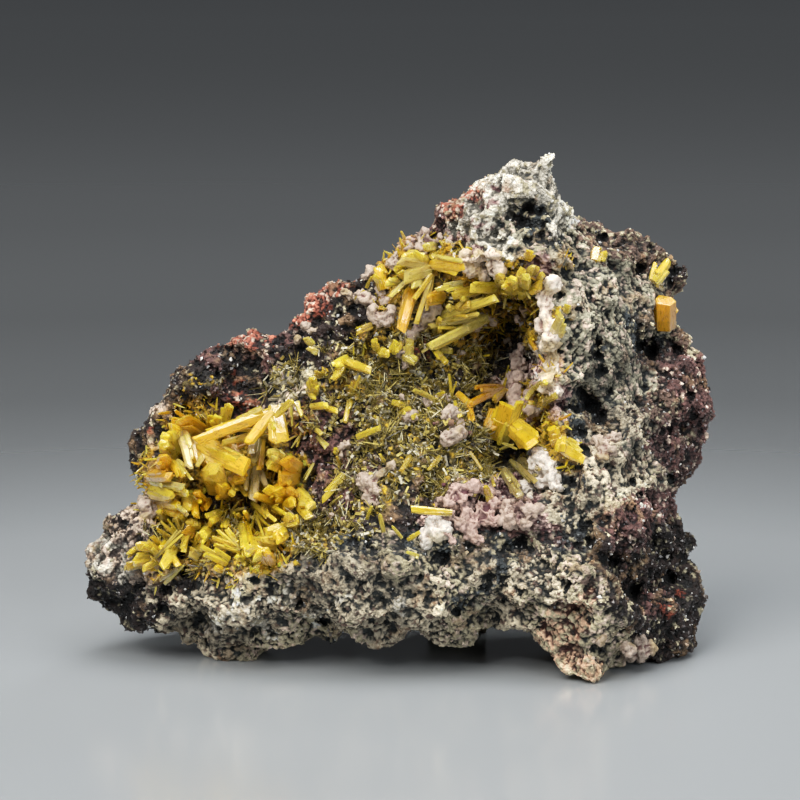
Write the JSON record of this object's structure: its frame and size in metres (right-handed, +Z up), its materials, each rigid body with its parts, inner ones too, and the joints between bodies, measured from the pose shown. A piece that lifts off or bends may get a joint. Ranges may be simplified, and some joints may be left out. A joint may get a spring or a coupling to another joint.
{
  "type": "mimetite mineral specimen",
  "caption": "Loose piece of rough vuggy rock with a bowl-shaped hollow in its front, lined with needles and set with yellow mimetite crystals and pale carbonate knobs.",
  "frame": {"origin": "on the surface the specimen stands on, under the centre of its box", "axes": "+Z up, +X along the length, the display face with its crystals towards -Y"},
  "size_m": [0.0636, 0.0388, 0.051],
  "materials": {
    "gossan": "rough, pitted, grey to black-brown with purple and rust tints, dull with fine sparkle",
    "mimetite": "honey yellow to olive yellow, translucent, resinous lustre",
    "carbonate": "white to pinkish, satin, slightly translucent",
    "needle_druse": "olive to straw needles, glassy lustre"
  },
  "bodies": {
    "root": {"knob_below_peak": "carbonate", "knob_bowl_top": "carbonate", "knob_crust_low": "carbonate", "knob_high_ridge": "carbonate", "knob_hollow_right": "carbonate", "knob_low_left": "carbonate", "knob_low_right": "carbonate", "knob_mound": "carbonate", "knob_under_group": "carbonate", "knob_wall_column": "carbonate", "knob_white": "carbonate", "matrix_rock": "gossan", "mimetite_block_back_right": "mimetite", "mimetite_left_cluster": "mimetite", "mimetite_left_tail": "mimetite", "mimetite_prism_back_right": "mimetite", "mimetite_prism_centre": "mimetite", "mimetite_prism_left_centre": "mimetite", "mimetite_prism_rim": "mimetite", "mimetite_prism_top_right": "mimetite", "mimetite_ridge_crust": "mimetite", "mimetite_right_blades": "mimetite", "mimetite_upper_group": "mimetite", "mimetite_wall_crystals": "mimetite", "needle_druse": "needle_druse"}
  },
  "joints": []
}
